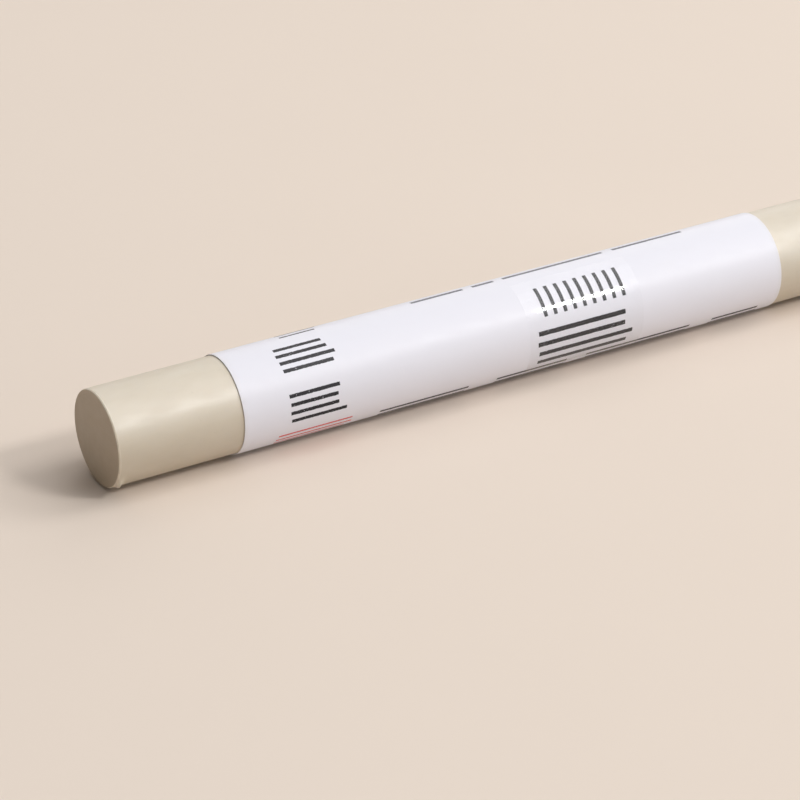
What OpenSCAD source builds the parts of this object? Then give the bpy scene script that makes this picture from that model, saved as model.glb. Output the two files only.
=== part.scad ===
// Furniture repair wax stick: a cast wax rod in a wrapped paper label, with a small clear tag on it
//
// The stick lies on its side. +X runs along it to the far end, +Z is up and -Y is its front. The
// origin is under the middle of the stick, on the surface that it lies on. Directions round the
// stick are in degrees from straight up, over the front: 90 is the front and 180 is the underside.

/* [Wax] */
// Diameter of the wax rod
wax_d = 11; // [9:0.5:16]
// Bare wax between the near end of the rod and the label
near_bare_l = 15; // [5:0.5:30]
// Bare wax between the label and the far end of the rod
far_bare_l = 15; // [5:0.5:30]
// Radius of the rounded rim at each end of the rod
rim_r = 0.15; // [0.1:0.05:0.8]
// Depth of the narrow flat that the soft wax has settled into along its underside
settled_t = 0.05; // [0.03:0.01:0.08]

/* [Label] */
// Length of the label along the rod
label_l = 70; // [56:1:100]
// Thickness of the label's paper
paper_t = 0.1; // [0.08:0.01:0.2]
// Thickness of the adhesive under the paper
label_glue_t = 0.03; // [0.02:0.01:0.06]
// Width of the lap, where the end of the label is stuck down over its own start
lap_w = 4; // [2:0.5:6]
// Width of the slope on which the label climbs from the wax onto its own start
climb_w = 1; // [0.6:0.1:2]
// Direction of the middle of the lap, out of sight on the back of the stick
lap_angle = 250; // [245:1:270]

/* [Clear tag] */
// Length of the tag along the rod
tag_l = 15; // [8:1:30]
// Width of the tag round the rod
tag_w = 12; // [6:0.5:13]
// Distance from the label's near edge to the tag
tag_inset = 36; // [4:1:50]
// Direction of the middle of the tag
tag_angle = 70; // [50:5:90]
// Thickness of the tag's film
film_t = 0.05; // [0.04:0.01:0.1]
// Thickness of the adhesive under the film
tag_glue_t = 0.02; // [0.01:0.01:0.04]

/* [Hidden] */
$fn = 180;
// Flat steps that make up the slope of the climb
climb_steps = 8;
// How far the climb runs into the sheets that it joins, and the share of their thickness by which
// its faces lie inside theirs
climb_tuck = 0.05;
climb_inset_share = 0.1;
// How far each cut runs past what it cuts
cut_overrun = 1;

wax_r = wax_d / 2;
stick_l = near_bare_l + label_l + far_bare_l;
wrap_t = label_glue_t + paper_t;
label_r = wax_r + wrap_t;
// The stick lies on the flat, on one turn of the label
axis_h = label_r - settled_t;

// The label starts at the near side of the lap, goes once round and ends at the lap's far side
lap_a = arc_angle(lap_w, label_r);
lap_start = lap_angle - lap_a / 2;
climb_a = arc_angle(climb_w, label_r);
tuck_a = arc_angle(climb_tuck, label_r);
tag_a = arc_angle(tag_w, label_r);
tag_start = tag_angle - tag_a / 2;

// The angle that an arc of this length takes on this radius
function arc_angle(l, r) = 360 * l / (2 * PI * r);

// A point of the cross-section
function round_point(r, a) = [r * cos(a), r * sin(a)];

// How much of the climb is done after a share of its run, level at both ends
function climbed(share) = (1 - cos(180 * share)) / 2;

// The climb's line from the radius r, at its foot, to its top on the label's start
function climb_line(r) = [
    for (i = [0 : climb_steps])
        round_point(r + wrap_t * climbed(i / climb_steps),
                    lap_start - climb_a - tuck_a + (climb_a + 2 * tuck_a) * i / climb_steps)
];

function reversed(list) = [for (i = [len(list) - 1 : -1 : 0]) list[i]];

// Lays what is drawn round Z along the stick, at a distance from its near end
module along_stick(x) {
    translate([x - stick_l / 2, 0, axis_h]) rotate([0, 90, 0]) rotate([0, 0, 180]) children();
}

// A curved sheet of thickness t and length l on the radius r, from one direction through an angle
module sheet(r, t, l, start, angle) {
    rotate_extrude(angle = angle, start = start) translate([r, 0]) square([t, l]);
}

// What the settled flat takes off the underside of a bar of radius r and length l
module under_cut(r, l) {
    translate([-r - cut_overrun, -r, -cut_overrun])
        cube([cut_overrun + settled_t, 2 * r, l + 2 * cut_overrun]);
}

// A round bar with the settled flat along its underside
module settled_bar(r, l) {
    difference() {
        cylinder(r = r, h = l);
        under_cut(r, l);
    }
}

// Half of the rod's lengthwise section, with its rims rounded
module rod_section() {
    square([wax_r - rim_r, stick_l]);
    translate([0, rim_r]) square([wax_r, stick_l - 2 * rim_r]);
    for (y = [rim_r, stick_l - rim_r])
        translate([wax_r - rim_r, y]) circle(rim_r);
}

// The full turn of one layer of the label, less the sector in which the climb lies
module turn(r, t) {
    cut_l = label_l + 2 * cut_overrun;
    difference() {
        settled_bar(r + t, label_l);
        translate([0, 0, -cut_overrun]) settled_bar(r, cut_l);
        translate([0, 0, -cut_overrun])
            sheet(r - cut_overrun, t + 2 * cut_overrun, cut_l, lap_start - climb_a, climb_a);
    }
}

// One layer of the wrapped label, which lies this far above the wax: a full turn, the climb
// beside its own start, and the lap on top of that start
module wrapped_layer(lift, t) {
    inset = t * climb_inset_share;
    turn(wax_r + lift, t);
    sheet(label_r + lift, t, label_l, lap_start, lap_a);
    linear_extrude(label_l)
        polygon(concat(climb_line(wax_r + lift + inset),
                       reversed(climb_line(wax_r + lift + t - inset))));
}

// One layer of the clear tag, on the radius r
module tag_layer(r, t) {
    sheet(r, t, tag_l, tag_start, tag_a);
}

// The cast wax rod, solid all through
module wax_stick() {
    color([0.87, 0.81, 0.70]) along_stick(0) difference() {
        rotate_extrude() rod_section();
        under_cut(wax_r, stick_l);
    }
}

// The adhesive on the back of the label, which holds it to the wax and the lap to its start
module label_adhesive() {
    color([0.93, 0.90, 0.80]) along_stick(near_bare_l) wrapped_layer(0, label_glue_t);
}

// The paper of the label, with its ends square cut
module paper_label() {
    color([0.94, 0.93, 0.95]) along_stick(near_bare_l) wrapped_layer(label_glue_t, paper_t);
}

// The adhesive on the back of the clear tag
module tag_adhesive() {
    color([0.95, 0.95, 0.92]) along_stick(near_bare_l + tag_inset) tag_layer(label_r, tag_glue_t);
}

// The glossy clear film of the tag, bent to the label's curve
module clear_tag() {
    color([0.88, 0.90, 0.94]) along_stick(near_bare_l + tag_inset)
        tag_layer(label_r + tag_glue_t, film_t);
}

wax_stick();
label_adhesive();
paper_label();
tag_adhesive();
clear_tag();
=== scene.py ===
"""A furniture repair wax stick: a cast wax rod in a wrapped paper label, with a small clear tag.

+X runs along the stick to its far end, +Z is up and -Y is its front. Directions round the stick
are angles from straight up, over the front: 90 degrees is the front and 180 is the underside.
"""
import math
import random

import bpy
from bpy.props import FloatProperty, FloatVectorProperty, PointerProperty
from mathutils import Matrix, Vector, noise


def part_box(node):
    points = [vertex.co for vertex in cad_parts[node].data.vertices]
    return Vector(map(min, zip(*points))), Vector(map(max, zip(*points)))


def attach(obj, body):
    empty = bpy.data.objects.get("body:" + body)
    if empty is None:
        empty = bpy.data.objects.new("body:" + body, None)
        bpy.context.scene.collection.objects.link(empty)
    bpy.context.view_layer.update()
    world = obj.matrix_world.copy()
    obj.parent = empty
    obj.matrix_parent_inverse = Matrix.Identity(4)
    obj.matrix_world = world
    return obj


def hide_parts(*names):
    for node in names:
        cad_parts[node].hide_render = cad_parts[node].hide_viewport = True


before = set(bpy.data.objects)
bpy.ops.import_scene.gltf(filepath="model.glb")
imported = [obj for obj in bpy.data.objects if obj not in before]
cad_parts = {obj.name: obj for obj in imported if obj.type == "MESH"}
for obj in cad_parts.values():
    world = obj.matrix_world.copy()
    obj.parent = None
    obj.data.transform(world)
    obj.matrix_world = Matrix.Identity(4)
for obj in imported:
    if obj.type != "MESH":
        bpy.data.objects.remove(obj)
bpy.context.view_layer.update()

bl_info = {
    "name": "Wax Repair Stick",
    "version": (1, 0, 0),
    "blender": (4, 5, 0),
    "location": "View3D > Sidebar > Wax Stick",
    "description": "Makes a wax repair stick in its paper label, with a clear tag, on a pale floor",
    "category": "Add Mesh",
}

MM = 0.001
WAX_LOW, WAX_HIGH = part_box("wax_stick")
LABEL_LOW, LABEL_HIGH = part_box("paper_label")
TAG_LOW, TAG_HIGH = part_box("clear_tag")
PICTURE_SIDE = 800


def length(name, description, default, high):
    """A length that the user may change, in metres."""
    return FloatProperty(name=name, description=description, default=default, min=0, max=high,
                         precision=6, subtype="DISTANCE", unit="LENGTH")


def angle(name, description, degrees):
    """A direction or a turn that the user may change."""
    return FloatProperty(name=name, description=description, default=math.radians(degrees),
                         subtype="ANGLE", unit="ROTATION")


def share(name, description, default, high=1.0):
    """A plain share that the user may change."""
    return FloatProperty(name=name, description=description, default=default, min=0, max=high,
                         subtype="FACTOR")


def colour(name, description, default):
    """A colour that the user may change."""
    return FloatVectorProperty(name=name, description=description, default=default, size=3,
                               min=0, max=1, subtype="COLOR")


class WaxSettings(bpy.types.PropertyGroup):
    """Sizes and finish of the wax rod."""

    diameter: length("Diameter", "Diameter of the wax rod", 11 * MM, 0.05)
    rim: length("Rim radius", "Size of the rounded rim at each end", 0.15 * MM, 0.002)
    settled: length("Settled depth", "Depth of the flat along the underside", 0.05 * MM, 0.001)
    uneven: length("Unevenness", "How deep the cast surface's soft hollows are", 0.006 * MM, 0.001)
    lip: length("Lip", "How far the lip left by the knife stands out", 0.45 * MM, 0.002)
    base: colour("Wax", "Colour of the wax", (0.534, 0.463, 0.362))
    dull: colour("Dull wax", "Colour of the wax where it is rubbed", (0.507, 0.435, 0.334))
    # The rubbed-rim colour is lighter than the wax: a painted highlight along both rims, patchy
    # like rubbed wax.
    worn: colour("Rubbed rim", "Colour of the wax where the rim is rubbed", (0.70, 0.625, 0.505))
    # The cut-face colour is darker than the wax: painted shade on both end faces.
    cut: colour("Cut face", "Colour of the wax on the cut ends", (0.380, 0.296, 0.200))
    roughness: share("Roughness", "How dull the wax surface is", 0.47)
    glow: share("Glow", "Share of the light that passes through the wax under its skin", 0.15)


class LabelSettings(bpy.types.PropertyGroup):
    """Sizes and finish of the paper label and its adhesive."""

    glue: length("Adhesive", "Thickness of the adhesive under the paper", 0.03 * MM, 0.001)
    paper: length("Paper", "Thickness of the paper", 0.1 * MM, 0.001)
    lap: length("Lap width", "Width of the lap at the back", 4 * MM, 0.02)
    climb: length("Climb width", "Width of the slope up to the lap", 1 * MM, 0.01)
    lap_middle: angle("Lap direction", "Direction of the middle of the lap", 250)
    base: colour("Paper colour", "Colour of the coated paper", (0.748, 0.733, 0.788))
    worn: colour("Worn paper", "Colour of the paper where it is handled", (0.70, 0.67, 0.68))
    edge: colour("Cut edge", "Colour of the paper's cut edge", (0.70, 0.67, 0.65))
    adhesive: colour("Adhesive colour", "Colour of the adhesive at the edges", (0.75, 0.70, 0.66))
    roughness: share("Roughness", "How dull the paper's coating is", 0.42)


class PrintSettings(bpy.types.PropertyGroup):
    """Inks of the plain printed marks."""

    ink: length("Ink thickness", "How far the ink stands above the paper", 0.008 * MM, 0.0001)
    black: colour("Black", "Colour of the black ink", (0.014, 0.013, 0.016))
    grey: colour("Grey", "Colour of the grey ink", (0.105, 0.105, 0.122))
    red: colour("Red", "Colour of the red ink", (0.54, 0.087, 0.078))


class TagSettings(bpy.types.PropertyGroup):
    """Sizes and finish of the clear tag."""

    glue: length("Adhesive", "Thickness of the adhesive under the film", 0.02 * MM, 0.001)
    film: length("Film", "Thickness of the clear film", 0.05 * MM, 0.001)
    width: length("Width", "Width of the tag round the stick", 12 * MM, 0.03)
    middle: angle("Direction", "Direction of the middle of the tag", 70)
    roughness: share("Roughness", "How dull the film's gloss is", 0.04)


class StageSettings(bpy.types.PropertyGroup):
    """Camera, floor and lamps."""

    azimuth: angle("Camera azimuth", "Turn of the camera round the stick", -29.834)
    elevation: angle("Camera elevation", "Height of the camera as an angle", 28.982)
    distance: length("Camera distance", "Distance along the view to the near end", 403.476 * MM, 10)
    lens: FloatProperty(name="Lens", description="Focal length of the camera",
                        default=169.872, min=1, subtype="DISTANCE_CAMERA", unit="CAMERA")
    floor: colour("Floor", "Colour of the floor", (0.772, 0.666, 0.577))
    world: share("World", "Strength of the light from all round", 0.03, 10)


class Piece:
    """Vertices and faces of one mesh while it is built."""

    def __init__(self):
        self.points = []
        self.faces = []
        self.kinds = []

    def add(self, point):
        self.points.append(point)
        return len(self.points) - 1

    def face(self, corners, kind=0):
        self.faces.append(corners)
        self.kinds.append(kind)

    def sheet(self, top, bottom, edge_kind=0, lower_kind=0):
        """A closed sheet between two like grids of points, with its four edges closed."""
        rows, columns = len(top), len(top[0])
        upper = [[self.add(p) for p in row] for row in top]
        lower = [[self.add(p) for p in row] for row in bottom]
        for i in range(rows - 1):
            for j in range(columns - 1):
                self.face((upper[i][j], upper[i][j + 1], upper[i + 1][j + 1], upper[i + 1][j]))
                self.face((lower[i][j], lower[i + 1][j], lower[i + 1][j + 1], lower[i][j + 1]),
                          lower_kind)
        for i in range(rows - 1):
            self.face((upper[i][0], upper[i + 1][0], lower[i + 1][0], lower[i][0]), edge_kind)
            self.face((upper[i][-1], lower[i][-1], lower[i + 1][-1], upper[i + 1][-1]), edge_kind)
        for j in range(columns - 1):
            self.face((upper[0][j], lower[0][j], lower[0][j + 1], upper[0][j + 1]), edge_kind)
            self.face((upper[-1][j], upper[-1][j + 1], lower[-1][j + 1], lower[-1][j]), edge_kind)

    def build(self, name, materials, node=None, slot=None, crease=math.radians(40)):
        """Makes the object, with smooth faces and sharp creases, and seats it in the frame."""
        mesh = bpy.data.meshes.new(name)
        mesh.from_pydata(self.points, [], self.faces)
        for material in materials:
            mesh.materials.append(material)
        mesh.polygons.foreach_set("material_index", self.kinds)
        mesh.polygons.foreach_set("use_smooth", [True] * len(self.faces))
        mesh.validate()
        mesh.set_sharp_from_angle(angle=crease)
        piece = bpy.data.objects.new(name, mesh)
        bpy.context.scene.collection.objects.link(piece)
        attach(piece, "root")
        if node:
            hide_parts(node)
        return piece


def axis_height():
    """Height of the stick's axis above the floor."""
    return label_radius() - bpy.context.scene.stick_wax.settled


def wax_radius():
    """Radius of the wax rod."""
    return bpy.context.scene.stick_wax.diameter / 2


def label_radius():
    """Outer radius of one turn of the label."""
    label = bpy.context.scene.stick_label
    return wax_radius() + label.glue + label.paper


def hollow(x, direction):
    """How far the cast surface falls short of true round here, which all layers follow."""
    depth = bpy.context.scene.stick_wax.uneven
    place = Vector((x / (11 * MM), 1.1 * math.sin(direction), 1.1 * math.cos(direction)))
    slow = noise.noise(place)
    place.x *= 2.6
    quick = noise.noise(place * 1.7 + Vector((7, 3, 5)))
    return depth * min(1, max(0, 0.5 + 0.55 * slow + 0.25 * quick))


def on_stick(x, direction, radius):
    """The point at this distance along the stick and from its axis, with the settled flat."""
    settled = bpy.context.scene.stick_wax.settled
    reach = radius - hollow(x, direction)
    height = max(reach * math.cos(direction), settled - radius)
    return (x, -reach * math.sin(direction), axis_height() + height)


def steps(start, end, count):
    """Evenly spaced numbers from start to end, both included."""
    return [start + (end - start) * i / count for i in range(count + 1)]


# The colour sockets of a mix node
MIX_FIRST, MIX_SECOND, MIX_RESULT = 6, 7, 2


class Nodes:
    """A material's node tree while it is wired."""

    def __init__(self, name):
        self.material = bpy.data.materials.new(name)
        self.material.use_nodes = True
        self.tree = self.material.node_tree
        self.tree.nodes.clear()
        self.output = self.tree.nodes.new("ShaderNodeOutputMaterial")
        self.place = self.tree.nodes.new("ShaderNodeTexCoord").outputs["Object"]

    def node(self, kind, **sockets):
        made = self.tree.nodes.new(kind)
        for key, value in sockets.items():
            self.set(made, key.replace("_", " "), value)
        return made

    def set(self, made, key, value):
        """Links a socket to another's output or gives it a constant of its own."""
        socket = made.inputs[key]
        if isinstance(value, bpy.types.NodeSocket):
            self.tree.links.new(value, socket)
        else:
            socket.default_value = value

    def noise(self, size, detail=4.0, stretch=(1, 1, 1), roughness=0.55):
        """Noise whose features are about this size, drawn out along the stick by stretch."""
        mapping = self.node("ShaderNodeMapping", Vector=self.place)
        mapping.inputs["Scale"].default_value = [1 / (size * s) for s in stretch]
        made = self.node("ShaderNodeTexNoise", Vector=mapping.outputs[0], Scale=1.0,
                         Detail=detail, Roughness=roughness)
        return made.outputs["Fac"]

    def ramp(self, value, low, high, start=0.0, end=1.0):
        """Turns a value between low and high into one between start and end."""
        made = self.node("ShaderNodeMapRange")
        made.interpolation_type = "SMOOTHSTEP"
        for key, number in (("Value", value), ("From Min", low), ("From Max", high),
                            ("To Min", start), ("To Max", end)):
            self.set(made, key, number)
        return made.outputs[0]

    def mix(self, amount, first, second):
        """Mixes two colours."""
        made = self.tree.nodes.new("ShaderNodeMix")
        made.data_type = "RGBA"
        self.set(made, 0, amount)
        for index, value in ((MIX_FIRST, first), (MIX_SECOND, second)):
            constant = not isinstance(value, bpy.types.NodeSocket)
            self.set(made, index, (*value, 1) if constant else value)
        return made.outputs[MIX_RESULT]

    def maths(self, operation, first, second=0.0):
        made = self.tree.nodes.new("ShaderNodeMath")
        made.operation = operation
        self.set(made, 0, first)
        self.set(made, 1, second)
        return made.outputs[0]

    def bump(self, height, distance, normal=None):
        """Bumps the surface, or what has bumped it before, by up to this distance."""
        made = self.node("ShaderNodeBump", Height=height, Distance=distance, Strength=1.0)
        if normal is not None:
            self.set(made, "Normal", normal)
        return made.outputs[0]

    def finish(self, shader):
        self.tree.links.new(shader, self.output.inputs["Surface"])
        return self.material


def from_end(nodes, low, high):
    """How far a point lies in from the nearer end of what runs from low to high."""
    axes = nodes.node("ShaderNodeSeparateXYZ", Vector=nodes.place)
    out = nodes.maths("ABSOLUTE", nodes.maths("SUBTRACT", axes.outputs[0], (low + high) / 2))
    return nodes.maths("SUBTRACT", (high - low) / 2, out)


def wax_material(wax):
    """Cast wax: soft mottling, rubbed patches, faint drawn lines and tiny pits, with a painted
    highlight along the rims and painted shade on the cut ends.
    """
    nodes = Nodes("cast_wax")
    mottle = nodes.ramp(nodes.noise(3.5 * MM, 3.0, (2, 1, 1)), 0.32, 0.68)
    speck = nodes.ramp(nodes.noise(0.35 * MM, 2.0), 0.60, 0.80, 0.0, 0.35)
    tint = nodes.mix(speck, nodes.mix(mottle, wax.base, wax.dull), [0.9 * c for c in wax.dull])
    inward = from_end(nodes, WAX_LOW.x, WAX_HIGH.x)
    # A lighter band round both rims, just in from the cut faces: painted highlight, patchy like
    # rubbed wax.
    rim = nodes.maths("MULTIPLY", nodes.ramp(inward, 0.02 * MM, 0.06 * MM),
                      nodes.ramp(inward, 0.12 * MM, 0.35 * MM, 1.0, 0.0))
    patchy = nodes.ramp(nodes.noise(0.8 * MM, 3.0), 0.25, 0.60, 0.35, 1.0)
    tint = nodes.mix(nodes.maths("MULTIPLY", rim, patchy), tint, wax.worn)
    # The cut ends take a darker colour, painted shade on the end faces, with faint knife marks in
    # it.
    sliced = nodes.ramp(nodes.noise(0.25 * MM, 3.0, (1, 9, 1)), 0.3, 0.7)
    face = nodes.mix(sliced, wax.cut, [1.03 * c for c in wax.cut])
    tint = nodes.mix(nodes.ramp(inward, 0.015 * MM, 0.035 * MM), face, tint)
    drawn = nodes.noise(0.30 * MM, 3.0, (14, 1, 1))
    grain = nodes.noise(0.12 * MM, 3.0)
    shape = nodes.bump(nodes.noise(2.2 * MM, 2.0, (3, 1, 1)), 0.0010 * MM)
    shape = nodes.bump(drawn, 0.0035 * MM, normal=shape)
    shape = nodes.bump(grain, 0.0020 * MM, normal=shape)
    shine = nodes.ramp(nodes.noise(1.4 * MM, 4.0, (3, 1, 1)), 0.3, 0.7,
                       wax.roughness - 0.05, wax.roughness + 0.08)
    shader = nodes.node("ShaderNodeBsdfPrincipled", Base_Color=tint, Roughness=shine,
                        Normal=shape)
    shader.inputs["IOR"].default_value = 1.6
    shader.inputs["Specular IOR Level"].default_value = 1.0
    shader.inputs["Subsurface Weight"].default_value = wax.glow
    shader.inputs["Subsurface Radius"].default_value = (1.0, 0.72, 0.42)
    shader.inputs["Subsurface Scale"].default_value = 0.9 * MM
    return nodes.finish(shader.outputs[0])


# How far in from its ends the paper is worn by handling
HANDLED = 1.2 * MM


def paper_material(label):
    """Coated paper: fine fibres under the coating, and a little handling wear at the ends."""
    nodes = Nodes("coated_paper")
    inward = from_end(nodes, LABEL_LOW.x, LABEL_HIGH.x)
    patchy = nodes.noise(1.3 * MM, 4.0)
    reach = nodes.maths("SUBTRACT", inward, nodes.maths("MULTIPLY", patchy, HANDLED))
    near_end = nodes.ramp(reach, -HANDLED, 0.2 * MM, 1.0, 0.0)
    smudge = nodes.ramp(nodes.noise(6 * MM, 4.0, (2, 1, 1)), 0.56, 0.78, 0.0, 0.25)
    wear = nodes.maths("MAXIMUM", nodes.maths("MULTIPLY", near_end, 0.8), smudge)
    tint = nodes.mix(wear, label.base, label.worn)
    fibre = nodes.noise(0.10 * MM, 4.0, (2.5, 1, 1))
    cockle = nodes.noise(2.5 * MM, 2.0, (1.6, 1, 1))
    shape = nodes.bump(cockle, 0.008 * MM)
    shape = nodes.bump(fibre, 0.0018 * MM, normal=shape)
    shine = nodes.ramp(nodes.noise(0.9 * MM, 4.0), 0.3, 0.7,
                       label.roughness - 0.05, label.roughness + 0.07)
    shader = nodes.node("ShaderNodeBsdfPrincipled", Base_Color=tint, Roughness=shine,
                        Normal=shape)
    shader.inputs["IOR"].default_value = 1.48
    shader.inputs["Specular IOR Level"].default_value = 0.4
    return nodes.finish(shader.outputs[0])


def edge_material(label):
    """The cut edge of the paper, with its fibres and some grime."""
    nodes = Nodes("cut_paper_edge")
    tint = nodes.mix(nodes.noise(0.12 * MM, 4.0), label.edge, [0.85 * c for c in label.edge])
    shape = nodes.bump(nodes.noise(0.03 * MM, 3.0), 0.006 * MM)
    shader = nodes.node("ShaderNodeBsdfPrincipled", Base_Color=tint, Normal=shape)
    shader.inputs["Roughness"].default_value = 0.85
    return nodes.finish(shader.outputs[0])


def adhesive_material(label):
    """Label adhesive at the edges, where it has picked up dust."""
    nodes = Nodes("label_adhesive_film")
    dust = nodes.ramp(nodes.noise(0.25 * MM, 4.0), 0.35, 0.65)
    tint = nodes.mix(dust, label.adhesive, [0.7 * c for c in label.adhesive])
    shine = nodes.ramp(nodes.noise(0.3 * MM, 3.0), 0.3, 0.7, 0.25, 0.5)
    shape = nodes.bump(nodes.noise(0.15 * MM, 3.0), 0.008 * MM)
    shader = nodes.node("ShaderNodeBsdfPrincipled", Base_Color=tint, Roughness=shine,
                        Normal=shape)
    return nodes.finish(shader.outputs[0])


def ink_material(name, tint):
    """Printing ink, a little uneven in density."""
    nodes = Nodes(name)
    density = nodes.ramp(nodes.noise(0.16 * MM, 4.0), 0.35, 0.72)
    lighter = [min(1, 1.4 * c + 0.012) for c in tint]
    body = nodes.mix(density, tint, lighter)
    rubbed = nodes.ramp(nodes.noise(0.22 * MM, 4.0), 0.64, 0.72, 0.0, 0.75)
    body = nodes.mix(rubbed, body, (0.61, 0.60, 0.63))
    shine = nodes.ramp(nodes.noise(0.2 * MM, 3.0), 0.3, 0.7, 0.38, 0.55)
    shape = nodes.bump(nodes.noise(0.06 * MM, 3.0), 0.002 * MM)
    shader = nodes.node("ShaderNodeBsdfPrincipled", Base_Color=body, Roughness=shine, Normal=shape)
    shader.inputs["Specular IOR Level"].default_value = 0.25
    return nodes.finish(shader.outputs[0])


# How strongly the tag's film and its adhesive mirror, by their index of refraction
FILM_IOR, ADHESIVE_IOR = 1.42, 1.08
ADHESIVE_ROUGHNESS = 0.3
# Depth of the ripples of a clear layer
RIPPLE = 0.004 * MM
# How much the film's ends curl as its gloss shows it, and over which length
FILM_LIFT, FILM_LIFT_REACH = 0.18 * MM, 3.2 * MM
# Room between the layers of the tag, so that no two faces share a place
LAYER_GAP = 0.001 * MM


def clear_material(name, roughness, bends, lift=0.0):
    """A clear layer: what is behind it shows, and its front face mirrors by Fresnel."""
    nodes = Nodes(name)
    shape = nodes.bump(nodes.noise(1.8 * MM, 2.0, (2.5, 1, 1)), RIPPLE)
    if lift:
        inward = from_end(nodes, TAG_LOW.x, TAG_HIGH.x)
        ends = nodes.maths("MAXIMUM", 0.0, nodes.maths("SUBTRACT", 1.0, nodes.maths(
            "DIVIDE", inward, FILM_LIFT_REACH)))
        shape = nodes.bump(nodes.maths("POWER", ends, 2.0), lift, normal=shape)
    shine = nodes.ramp(nodes.noise(0.7 * MM, 4.0), 0.35, 0.7, roughness, roughness + 0.05)
    gloss = nodes.node("ShaderNodeBsdfGlossy", Roughness=shine, Normal=shape)
    clear = nodes.node("ShaderNodeBsdfTransparent")
    fresnel = nodes.node("ShaderNodeFresnel", Normal=shape)
    fresnel.inputs["IOR"].default_value = bends
    back = nodes.tree.nodes.new("ShaderNodeNewGeometry").outputs["Backfacing"]
    amount = nodes.maths("MULTIPLY", fresnel.outputs[0], nodes.maths("SUBTRACT", 1.0, back))
    mixed = nodes.node("ShaderNodeMixShader")
    nodes.set(mixed, 0, amount)
    nodes.set(mixed, 1, clear.outputs[0])
    nodes.set(mixed, 2, gloss.outputs[0])
    return nodes.finish(mixed.outputs[0])


def inside_material():
    """The faces of the film that its adhesive wets: clear, with a faint haze and no gloss."""
    nodes = Nodes("wetted_film")
    haze = nodes.ramp(nodes.noise(0.8 * MM, 3.0), 0.35, 0.75)
    clear = nodes.node("ShaderNodeBsdfTransparent",
                       Color=nodes.mix(haze, (0.994, 0.994, 0.995), (0.984, 0.984, 0.988)))
    return nodes.finish(clear.outputs[0])


# Steps round the rod and round one turn of the label
ROUND_STEPS = 240
# Where the rod's rings of points stand behind its rims, in mm: close together where the lips are,
# then in even steps to just under the label's edge, given as first, last and number of steps
CLOSE_RINGS = (0.1, 0.2, 0.3, 0.4, 0.55, 0.7, 0.9, 1.1)
BARE_RINGS = (1.35, 15.4, 48)
# Number of steps where the label hides the rod
HIDDEN_STEPS = 24
# Radii of the rings of points on an end face, for a rod of radius FACE_RINGS_FOR
FACE_RINGS = (0.6, 1.4, 2.3, 3.2, 4.0, 4.6, 5.0, 5.25)
FACE_RINGS_FOR = 5.5
# How far the rubbed rim reaches in from the rod's side and back from its end, in rim radii
RIM_IN, RIM_BACK = 0.75, 1.3


def rim_outline(radius, rim):
    """Distances from the axis and from the end, from the middle of the end face over its rim."""
    line = [(r / FACE_RINGS_FOR * radius, 0.0) for r in FACE_RINGS]
    low, over = RIM_IN * rim, RIM_BACK * rim
    for t in steps(0, 1, 8):
        line.append((radius - low * (1 - t) ** 2, 1.8 * rim * t * (1 - t) + over * t * t))
    return line


# How deep the soft hollows of the cut faces are
FACE_UNEVEN = 0.010 * MM
# Lips that the knife left on the near rim: direction and width in degrees, and share of full height
LIPS = ((130, 9, 1.0), (303, 4, 0.25))
# How far behind the end a lip reaches its full height, and how fast it then tails off
LIP_FRONT, LIP_TAIL = 0.35 * MM, 0.45 * MM


def lip_share(direction, inward):
    """How much of the lip stands here: it rises behind the rim and tails off along the stick."""
    turn = math.degrees(direction)
    around = sum(height * math.exp(-((turn - middle) / width) ** 2)
                 for middle, width, height in LIPS)
    rise = min(1, max(0, inward / LIP_FRONT))
    tail = max(0, inward - LIP_FRONT) / LIP_TAIL
    return around * rise * rise * (3 - 2 * rise) * math.exp(-tail * tail)


class STICK_OT_wax(bpy.types.Operator):
    """Makes the cast wax rod, with rounded rims, a knife's lip and soft hollows"""

    bl_idname = "stick.wax"
    bl_label = "Wax rod"

    def execute(self, context):
        wax = context.scene.stick_wax
        radius, near, far = wax_radius(), WAX_LOW.x, WAX_HIGH.x
        outline = rim_outline(radius, wax.rim)
        behind_rim = near + RIM_BACK * wax.rim
        bare = [behind_rim + d * MM for d in CLOSE_RINGS]
        bare += [behind_rim + d * MM for d in steps(*BARE_RINGS)]
        hidden = steps(bare[-1], near + far - bare[-1], HIDDEN_STEPS)[1:-1]
        stations = [(radius, x, 0) for x in bare + hidden]
        stations += [(radius, near + far - x, 0) for x in reversed(bare)]
        line = [(r, near + d, 1) for r, d in outline] + stations
        line += [(r, far - d, -1) for r, d in reversed(outline)]
        turns = steps(0, 2 * math.pi, ROUND_STEPS)[:-1]
        piece = Piece()
        rings = [[self.point(piece, wax, r, x, end, turn) for turn in turns]
                 for r, x, end in line]
        for first, second in zip(rings, rings[1:]):
            for j in range(ROUND_STEPS):
                k = (j + 1) % ROUND_STEPS
                piece.face((first[j], second[j], second[k], first[k]))
        for ring, x, flip in ((rings[0], near, False), (rings[-1], far, True)):
            middle = piece.add((x, 0, axis_height()))
            for j in range(ROUND_STEPS):
                k = (j + 1) % ROUND_STEPS
                piece.face((middle, ring[k], ring[j]) if flip else (middle, ring[j], ring[k]))
        piece.build("wax_rod", [wax_material(wax)], "wax_stick", "wax")
        return {"FINISHED"}

    def point(self, piece, wax, r, x, end, turn):
        """Adds a point of the rod: the end faces are a little uneven and the near rim has lips."""
        radius = wax_radius()
        if end and r < radius - 0.8 * wax.rim:
            spot = Vector((r * math.sin(turn), r * math.cos(turn), 0)) / (2.2 * MM)
            x += end * FACE_UNEVEN * (0.5 + 0.5 * noise.noise(spot))
        inward = x - WAX_LOW.x
        proud = wax.lip * lip_share(turn, inward) if r > radius - RIM_IN * wax.rim else 0.0
        return piece.add(on_stick(x, turn, r + proud))


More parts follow.
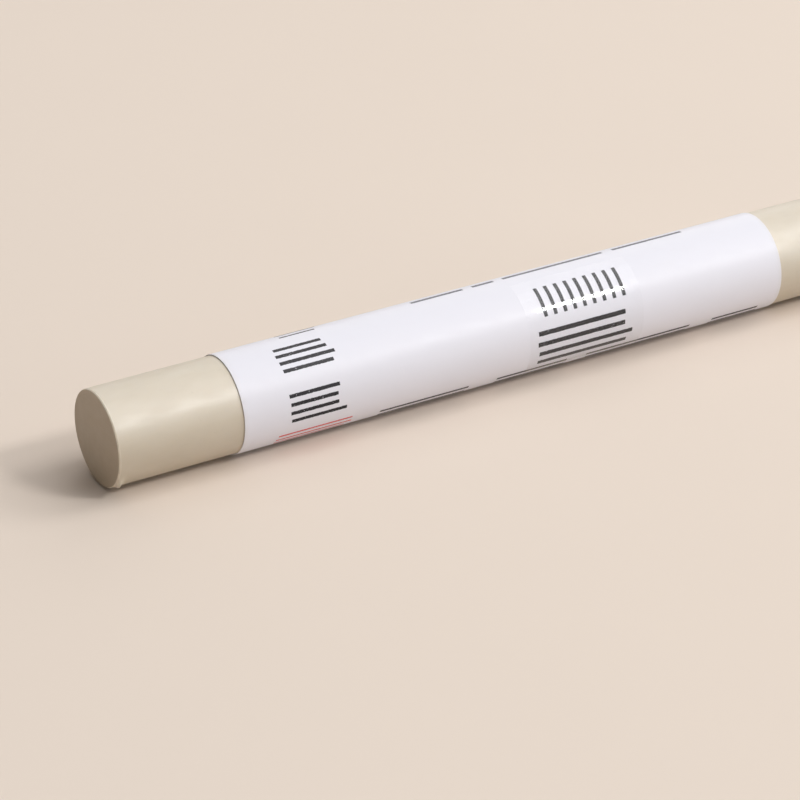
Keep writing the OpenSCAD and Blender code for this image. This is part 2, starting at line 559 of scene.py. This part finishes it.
# Size of the small rounding of the paper's upper edges
PAPER_SOFT = 0.02 * MM
# Steps up the climb and across the lap, and along the paper and its adhesive
CLIMB_STEPS, LAP_STEPS = 12, 28
PAPER_STEPS, ADHESIVE_STEPS = 70, 35


def label_line(label):
    """The directions along the wrapped label, and how far it is lifted over its own start."""
    wrap = label.glue + label.paper
    around = 2 * math.pi * label_radius()
    lap, climb = (2 * math.pi * w / around for w in (label.lap, label.climb))
    start = label.lap_middle - lap / 2
    turn = 2 * math.pi
    tiny = PAPER_SOFT / label_radius()
    line = [(start, 0.0), (start + tiny, 0.0)]
    line += [(d, 0.0) for d in steps(start, start + turn - climb, ROUND_STEPS)[1:]]
    for share_up in steps(0, 1, CLIMB_STEPS)[1:]:
        lift = wrap * (1 - math.cos(math.pi * share_up)) / 2
        line.append((start + turn - climb + climb * share_up, lift))
    line += [(d, wrap) for d in steps(start + turn, start + turn + lap, LAP_STEPS)[1:-1]]
    line += [(start + turn + lap - tiny, wrap), (start + turn + lap, wrap)]
    return line


def label_stations(middle_steps):
    """Distances along the stick for the rows of a layer of the label."""
    low, high = LABEL_LOW.x, LABEL_HIGH.x
    ends = (0.0, PAPER_SOFT, 0.08 * MM, 0.3 * MM)
    return ([low + d for d in ends] + steps(low + 1 * MM, high - 1 * MM, middle_steps)
            + [high - d for d in reversed(ends)])


class STICK_OT_label(bpy.types.Operator):
    """Makes the wrapped paper label and the adhesive under it"""

    bl_idname = "stick.label"
    bl_label = "Paper label and adhesive"

    def execute(self, context):
        label = context.scene.stick_label
        line = label_line(label)
        inner = wax_radius() + label.glue
        outer = inner + label.paper
        rows = label_stations(PAPER_STEPS)

        def top(x, j):
            direction, lift = line[j]
            cut = PAPER_SOFT if x in (rows[0], rows[-1]) or j in (0, len(line) - 1) else 0.0
            return on_stick(x, direction, outer + lift - cut)

        paper = Piece()
        paper.sheet([[top(x, j) for j in range(len(line))] for x in rows],
                    [[on_stick(x, d, inner + lift) for d, lift in line] for x in rows], 1)
        paper.build("label_paper", [paper_material(label), edge_material(label)],
                    "paper_label", "label_paper")
        rows = label_stations(ADHESIVE_STEPS)
        film = Piece()
        film.sheet([[on_stick(x, d, inner + lift) for d, lift in line] for x in rows],
                   [[on_stick(x, d, wax_radius() + lift) for d, lift in line] for x in rows])
        film.build("label_backing", [adhesive_material(label)], "label_adhesive", "adhesive")
        return {"FINISHED"}


# Longest steps of a mark's grid along the stick and round it, in mm, and how far it is sunk
MARK_STEP_ALONG, MARK_STEP_ROUND = 0.14, 0.25
MARK_SUNK = 0.002 * MM


class Marks:
    """Plain printed marks: thin patches of ink that follow the curve of the stick."""

    def __init__(self, base, thickness, seed):
        self.piece = Piece()
        self.base = base
        self.thickness = thickness
        self.draw = random.Random(seed)

    def patch(self, edges):
        """A closed patch between low and high edges, given as (x, low, high) along the stick."""
        tallest = max(high - low for _, low, high in edges)
        rows = max(2, math.ceil(tallest / MARK_STEP_ROUND))
        start = WAX_LOW.x

        def layer(radius):
            return [[on_stick(start + x * MM,
                              math.pi / 2 - (low + (high - low) * i / rows) * MM / label_radius(),
                              radius) for x, low, high in edges] for i in range(rows + 1)]

        self.piece.sheet(layer(self.base + self.thickness), layer(self.base - MARK_SUNK))

    def bar(self, x0, x1, middle, height, rough=0.02):
        """A bar along the stick with slightly ragged edges."""
        count = max(4, math.ceil((x1 - x0) / MARK_STEP_ALONG))
        edges = []
        for x in steps(x0, x1, count):
            edges.append((x, middle - height / 2 + self.draw.uniform(-rough, rough),
                          middle + height / 2 + self.draw.uniform(-rough, rough)))
        self.patch(edges)

    def rules(self, x0, x1, low, high, count, height):
        """Plain rules one above the other, of uneven length."""
        for middle in steps(low + height / 2, high - height / 2, count - 1):
            left = x0 + self.draw.uniform(0, 0.03) * (x1 - x0)
            right = x1 - self.draw.uniform(0, 0.16) * (x1 - x0)
            self.bar(left, right, middle, height)

    def ticks(self, x0, x1, low, high, count, width):
        """Upright ticks at an even pitch, like those of a plain scale."""
        for x in steps(x0, x1 - width, count - 1):
            self.bar(x, x + width, (low + high) / 2, high - low)


# Blocks of rules, in mm: where each starts and ends from the rod's near end, where it starts and
# ends round the stick from straight front, its number of rules and their height
BLACK_RULES = (
    (20.7, 27.6, 4.6, 7.9, 4, 0.42),
    (20.6, 27.6, -1.2, 2.2, 4, 0.42),
    (22.9, 28.1, 10.0, 11.5, 2, 0.30),
    (32.2, 44.4, -5.2, -3.6, 2, 0.42),
    (47.3, 57.0, -5.2, -3.6, 2, 0.42),
    (59.2, 74.0, -5.2, -3.6, 2, 0.42),
    (76.2, 83.4, -5.2, -3.6, 2, 0.42),
)
RED_RULES = (19.3, 29.2, -4.9, -2.95, 3, 0.28)
# Single rules in one line: where each starts and ends along the stick
GREY_RULES = ((39.5, 46.2), (47.4, 50.2), (51.4, 64.6), (66.0, 75.4))
GREY_MIDDLE, GREY_HEIGHT = 10.2, 0.55
# Ticks, likewise, with their number and width
TAG_TICKS = (53.3, 64.1, 3.1, 6.7, 9, 0.45)
TAG_RULES = (51.9, 65.3, -2.8, 1.6, 4, 0.55)
# Steps of the tag along the stick and round it
TAG_STEPS_ALONG, TAG_STEPS_ROUND = 30, 96
# Seeds of the marks' ragged edges
BLACK_SEED, GREY_SEED, RED_SEED, TAG_SEED = 11, 12, 13, 21


class STICK_OT_print(bpy.types.Operator):
    """Makes the plain printed marks on the label, in black, grey and red"""

    bl_idname = "stick.print"
    bl_label = "Printed marks"

    def execute(self, context):
        ink = context.scene.stick_print
        surface = label_radius()
        black = Marks(surface, ink.ink, BLACK_SEED)
        for rules in BLACK_RULES:
            black.rules(*rules)
        grey = Marks(surface, ink.ink, GREY_SEED)
        for x0, x1 in GREY_RULES:
            grey.bar(x0, x1, GREY_MIDDLE, GREY_HEIGHT)
        red = Marks(surface, ink.ink, RED_SEED)
        red.rules(*RED_RULES)
        for marks, name, tint in ((black, "print_black", ink.black), (grey, "print_grey", ink.grey),
                                  (red, "print_red", ink.red)):
            marks.piece.build(name, [ink_material(name.replace("print", "ink"), tint)],
                              slot="label_paper")
        return {"FINISHED"}


class STICK_OT_tag(bpy.types.Operator):
    """Makes the clear tag, the adhesive under it and the marks printed on its back"""

    bl_idname = "stick.tag"
    bl_label = "Clear tag"

    def execute(self, context):
        tag = context.scene.stick_tag
        surface = label_radius()
        half = tag.width / surface / 2
        turns = steps(tag.middle - half, tag.middle + half, TAG_STEPS_ROUND)
        rows = steps(TAG_LOW.x, TAG_HIGH.x, TAG_STEPS_ALONG)
        gap = LAYER_GAP

        def layer(low, high, kind=0):
            piece = Piece()
            piece.sheet([[on_stick(x, d, high) for d in turns] for x in rows],
                        [[on_stick(x, d, low) for d in turns] for x in rows], kind, kind)
            return piece

        film = layer(surface + tag.glue, surface + tag.glue + tag.film, 1)
        outside = clear_material("clear_film", tag.roughness, FILM_IOR, FILM_LIFT)
        film.build("tag_film", [outside, inside_material()], "clear_tag", "clear_film")
        # The adhesive's lower face is sunk in the paper, so that light crosses one clear face less
        backing = layer(surface - 2 * gap, surface + tag.glue - gap)
        wet = clear_material("clear_adhesive", ADHESIVE_ROUGHNESS, ADHESIVE_IOR)
        backing.build("tag_backing", [wet], "tag_adhesive", "adhesive")
        marks = Marks(surface + tag.glue / 2, tag.glue / 4, TAG_SEED)
        marks.ticks(*TAG_TICKS)
        marks.rules(*TAG_RULES)
        ink = context.scene.stick_print
        marks.piece.build("tag_print", [ink_material("ink_tag", ink.black)], slot="clear_film")
        return {"FINISHED"}


# Where the middle of the near end lies in the picture, in pixels from its upper left corner
NEAR_END_IN_PICTURE = (96.363, 438.651)
# How far the floor reaches from its middle, in metres, and its steps across
FLOOR_REACH, FLOOR_STEPS = 4.0, 24

WHITE, COOL = (1.0, 1.0, 1.0), (0.84, 0.94, 1.0)
# Colours of the light from all round and of the background that the camera sees
WORLD_LIGHT, WORLD_SEEN = (1.0, 0.985, 0.965, 1), (0.93, 0.90, 0.86, 1)

# Lamps: azimuth and elevation of each as seen from the stick, its distance, its size along and
# up as it would be at 1 m, its strength and its colour
LAMPS = (
    ("lamp_over_back", 45, 62, 2.2, 1.0, 1.0, 1.19, WHITE),
    ("lamp_low_back", 50, 18, 2.2, 0.62, 0.44, 1.66, WHITE),
    ("lamp_right", -8, 37, 2.2, 0.36, 0.35, 5.6, WHITE),
    ("lamp_low_right", 12, 12, 2.2, 0.70, 0.30, 2.5, WHITE),
    ("lamp_low_front", -32, 9, 1.6, 0.56, 0.28, 5.8, COOL),
    ("lamp_left", 195, 12, 2.2, 0.60, 0.35, 1.05, WHITE),
    ("lamp_band", -41, 57, 2.2, 1.25, 1.10, 0.89, WHITE),
    ("lamp_band_core", -40, 53, 2.2, 0.75, 0.55, 0.97, WHITE),
    ("lamp_strip", -49.3, 41.0, 2.2, 0.18, 0.14, 38.0, WHITE),
)


def view_axes(azimuth, elevation):
    """The camera's right, up and backward directions."""
    right = Vector((math.cos(azimuth), math.sin(azimuth), 0))
    back = Vector((math.sin(azimuth) * math.cos(elevation),
                   -math.cos(azimuth) * math.cos(elevation), math.sin(elevation)))
    return right, back.cross(right), back


class STICK_OT_stage(bpy.types.Operator):
    """Makes the floor, the lamps, the world and the camera at the picture's angle"""

    bl_idname = "stick.stage"
    bl_label = "Stage"

    def execute(self, context):
        stage = context.scene.stick_stage
        self.floor(context, stage)
        self.lamps(context)
        self.world(context, stage)
        self.camera(context, stage)
        context.scene.view_settings.view_transform = "Standard"
        return {"FINISHED"}

    def floor(self, context, stage):
        mesh = bpy.data.meshes.new("floor")
        count = FLOOR_STEPS
        lines = steps(-FLOOR_REACH, FLOOR_REACH, count)
        points = [(x, y, 0) for x in lines for y in lines]
        faces = [(i * (count + 1) + j, (i + 1) * (count + 1) + j,
                  (i + 1) * (count + 1) + j + 1, i * (count + 1) + j + 1)
                 for i in range(count) for j in range(count)]
        mesh.from_pydata(points, [], faces)
        nodes = Nodes("pale_floor")
        tint = nodes.mix(nodes.noise(25 * MM, 3.0), stage.floor, [0.985 * c for c in stage.floor])
        shader = nodes.node("ShaderNodeBsdfPrincipled", Base_Color=tint)
        shader.inputs["Roughness"].default_value = 0.9
        shader.inputs["Specular IOR Level"].default_value = 0.0
        mesh.materials.append(nodes.finish(shader.outputs[0]))
        floor = bpy.data.objects.new("floor", mesh)
        context.scene.collection.objects.link(floor)

    def lamps(self, context):
        target = Vector((0, 0, axis_height()))
        for name, azimuth, elevation, away, wide, tall, strength, tint in LAMPS:
            a, e = math.radians(azimuth), math.radians(elevation)
            way = Vector((math.cos(a) * math.cos(e), math.sin(a) * math.cos(e), math.sin(e)))
            light = bpy.data.lights.new(name, "AREA")
            light.shape = "RECTANGLE"
            light.size, light.size_y = wide * away, tall * away
            light.energy = strength * light.size * light.size_y * math.pi
            light.color = tint
            lamp = bpy.data.objects.new(name, light)
            along = (Vector((1, 0, 0)) - way * way.x).normalized()
            turned = Matrix((along, way.cross(along), way)).transposed().to_4x4()
            lamp.matrix_world = Matrix.Translation(target + way * away) @ turned
            lamp.visible_camera = False
            context.scene.collection.objects.link(lamp)

    def world(self, context, stage):
        world = bpy.data.worlds.new("studio")
        world.use_nodes = True
        tree = world.node_tree
        tree.nodes.clear()
        light = tree.nodes.new("ShaderNodeBackground")
        light.inputs["Color"].default_value = WORLD_LIGHT
        light.inputs["Strength"].default_value = stage.world
        seen = tree.nodes.new("ShaderNodeBackground")
        seen.inputs["Color"].default_value = WORLD_SEEN
        path = tree.nodes.new("ShaderNodeLightPath")
        mixed = tree.nodes.new("ShaderNodeMixShader")
        output = tree.nodes.new("ShaderNodeOutputWorld")
        shown = path.outputs["Is Camera Ray"]
        for ray in ("Is Glossy Ray", "Is Transmission Ray"):
            either = tree.nodes.new("ShaderNodeMath")
            either.operation = "MAXIMUM"
            tree.links.new(shown, either.inputs[0])
            tree.links.new(path.outputs[ray], either.inputs[1])
            shown = either.outputs[0]
        tree.links.new(shown, mixed.inputs[0])
        tree.links.new(light.outputs[0], mixed.inputs[1])
        tree.links.new(seen.outputs[0], mixed.inputs[2])
        tree.links.new(mixed.outputs[0], output.inputs["Surface"])
        context.scene.world = world

    def camera(self, context, stage):
        right, up, back = view_axes(stage.azimuth, stage.elevation)
        data = bpy.data.cameras.new("camera")
        data.sensor_fit = "HORIZONTAL"
        data.sensor_width = 36
        data.lens = stage.lens
        data.clip_start = 0.01
        per_pixel = data.sensor_width / data.lens / PICTURE_SIDE * stage.distance
        across = (NEAR_END_IN_PICTURE[0] - PICTURE_SIDE / 2) * per_pixel
        down = (NEAR_END_IN_PICTURE[1] - PICTURE_SIDE / 2) * per_pixel
        near_end = Vector((WAX_LOW.x, 0, axis_height()))
        place = near_end + back * stage.distance - right * across + up * down
        camera = bpy.data.objects.new("camera", data)
        turned = Matrix((right, up, back)).transposed().to_4x4()
        camera.matrix_world = Matrix.Translation(place) @ turned
        context.scene.collection.objects.link(camera)
        context.scene.camera = camera


class STICK_PT_panel(bpy.types.Panel):
    """Lists the pieces of the wax stick"""

    bl_idname = "STICK_PT_panel"
    bl_label = "Wax Stick"
    bl_space_type = "VIEW_3D"
    bl_region_type = "UI"
    bl_category = "Wax Stick"

    def draw(self, context):
        scene = context.scene
        for operator, settings in zip(OPERATORS, (scene.stick_wax, scene.stick_label,
                                                  scene.stick_print, scene.stick_tag,
                                                  scene.stick_stage)):
            box = self.layout.box()
            box.operator(operator.bl_idname)
            for name in settings.__annotations__:
                box.prop(settings, name)


OPERATORS = (STICK_OT_wax, STICK_OT_label, STICK_OT_print, STICK_OT_tag, STICK_OT_stage)
SETTINGS = {"stick_wax": WaxSettings, "stick_label": LabelSettings, "stick_print": PrintSettings,
            "stick_tag": TagSettings, "stick_stage": StageSettings}


def register():
    for group in SETTINGS.values():
        bpy.utils.register_class(group)
    for name, group in SETTINGS.items():
        setattr(bpy.types.Scene, name, PointerProperty(type=group))
    for operator in OPERATORS:
        bpy.utils.register_class(operator)
    bpy.utils.register_class(STICK_PT_panel)


def unregister():
    bpy.utils.unregister_class(STICK_PT_panel)
    for operator in reversed(OPERATORS):
        bpy.utils.unregister_class(operator)
    for name in SETTINGS:
        delattr(bpy.types.Scene, name)
    for group in SETTINGS.values():
        bpy.utils.unregister_class(group)


def main():
    register()
    bpy.ops.stick.wax()
    bpy.ops.stick.label()
    bpy.ops.stick.print()
    bpy.ops.stick.tag()
    bpy.ops.stick.stage()


if __name__ == "__main__":
    main()
